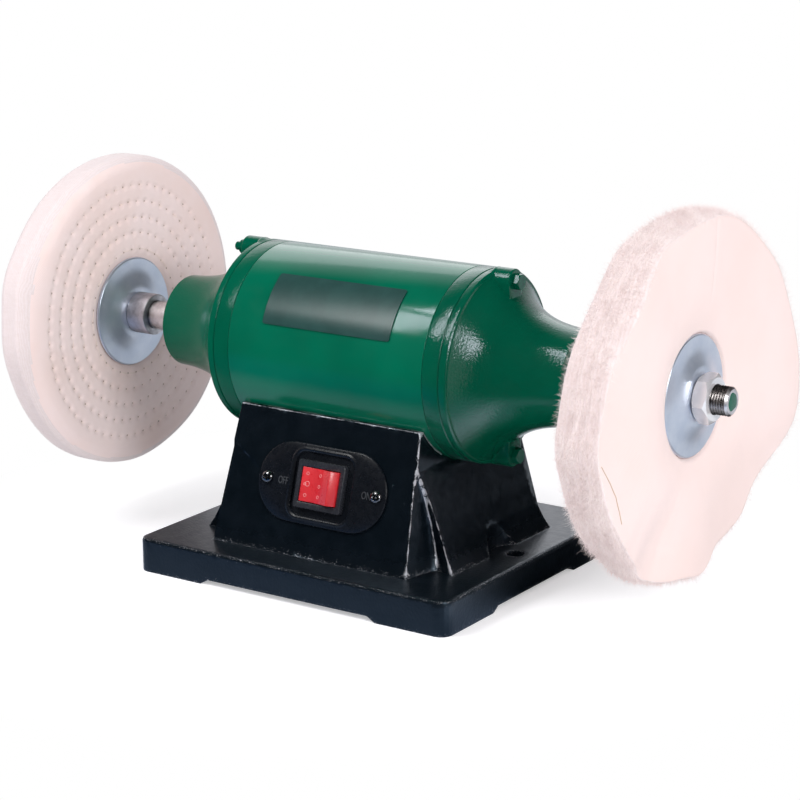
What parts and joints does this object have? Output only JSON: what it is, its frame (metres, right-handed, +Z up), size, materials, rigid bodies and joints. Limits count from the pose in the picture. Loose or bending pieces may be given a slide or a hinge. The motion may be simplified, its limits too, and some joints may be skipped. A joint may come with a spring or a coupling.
{
  "type": "bench buffing machine",
  "caption": "Bench buffer with a green motor on a black cast pedestal, a sewn cotton buff and a loose cotton buff on the ends of its arbor, and a red rocker switch.",
  "frame": {"origin": "middle of the base's underside, on the bench", "axes": "+Z up, +X along the arbor towards the loose buff, -Y towards the switch and the user"},
  "size_m": [0.4432, 0.201, 0.222],
  "materials": {
    "black_paint": "gloss paint on cast iron",
    "green_paint": "gloss enamel",
    "nameplate_green": "satin",
    "zinc_plate": "bright zinc",
    "turned_steel": "turned",
    "dark_screw": "blackened",
    "core_steel": "laminated",
    "copper_winding": "varnished copper",
    "rotor_aluminium": "cast",
    "brass": "satin",
    "black_plastic": "satin",
    "red_plastic": "gloss",
    "black_rubber": "matt",
    "grey_plastic": "matt",
    "sewn_cotton": "sewn cotton cloth",
    "loose_cotton": "loose cotton cloth"
  },
  "bodies": {
    "housing": {"base_casting": "black_paint", "motor_shell": "green_paint", "end_bell_left": "green_paint", "end_bell_right": "green_paint", "tie_bolt_top": "green_paint", "tie_bolt_bottom": "green_paint", "tie_nut_top": "green_paint", "tie_nut_bottom": "green_paint", "nameplate": "nameplate_green", "bottom_cover": "zinc_plate", "cover_screw_1": "zinc_plate", "cover_screw_2": "zinc_plate", "cover_screw_3": "zinc_plate", "cover_screw_4": "zinc_plate", "capacitor_clamp": "zinc_plate", "clamp_screw_left": "zinc_plate", "clamp_screw_right": "zinc_plate", "terminal_block_screw": "zinc_plate", "motor_bolt_left": "zinc_plate", "motor_bolt_right": "zinc_plate", "bearing_outer_race_left": "turned_steel", "bearing_outer_race_right": "turned_steel", "wave_washer": "turned_steel", "panel_screw_left": "dark_screw", "panel_screw_right": "dark_screw", "stator_core": "core_steel", "winding_left": "copper_winding", "winding_right": "copper_winding", "earth_tag": "brass", "earth_screw": "brass", "switch_terminal_left": "brass", "switch_terminal_right": "brass", "switch_panel": "black_plastic", "switch_body": "black_plastic", "gland_nut": "black_plastic", "cable_gland": "black_rubber", "lead_bush": "black_rubber", "motor_lead": "black_rubber", "capacitor_lead": "black_rubber", "capacitor": "grey_plastic", "terminal_block": "grey_plastic"},
    "arbor": {"arbor_shaft": "turned_steel", "rotor_core": "core_steel", "rotor_ring_left": "rotor_aluminium", "rotor_ring_right": "rotor_aluminium", "bearing_inner_race_left": "turned_steel", "bearing_inner_race_right": "turned_steel", "sleeve_left": "turned_steel", "sleeve_right": "turned_steel", "inner_flange_left": "zinc_plate", "inner_flange_right": "zinc_plate", "outer_flange_left": "zinc_plate", "outer_flange_right": "zinc_plate", "arbor_nut_left": "zinc_plate", "arbor_nut_right": "zinc_plate", "loose_buff": "loose_cotton", "sewn_buff": "sewn_cotton"},
    "ball_set_left": {"bearing_balls_left": "turned_steel"},
    "ball_set_right": {"bearing_balls_right": "turned_steel"},
    "rocker": {"switch_rocker": "red_plastic"}
  },
  "joints": [
    {"name": "arbor_spin", "type": "hinge", "parent": "housing", "child": "arbor", "pos_m": [0, 0, 0.125], "axis": [1, 0, 0], "continuous": true},
    {"name": "ball_set_left_spin", "type": "hinge", "parent": "housing", "child": "ball_set_left", "pos_m": [0, 0, 0.125], "axis": [1, 0, 0], "continuous": true},
    {"name": "ball_set_right_spin", "type": "hinge", "parent": "housing", "child": "ball_set_right", "pos_m": [0, 0, 0.125], "axis": [1, 0, 0], "continuous": true},
    {"name": "switch_rock", "type": "hinge", "parent": "housing", "child": "rocker", "pos_m": [0.0033, -0.05838, 0.05843], "axis": [0, 0.2884, 0.9575], "range_deg": [0, 25]}
  ],
  "couplings": [
    {"joint": "ball_set_left_spin", "follows": "arbor_spin", "ratio": 0.3816},
    {"joint": "ball_set_right_spin", "follows": "arbor_spin", "ratio": 0.3816}
  ]
}
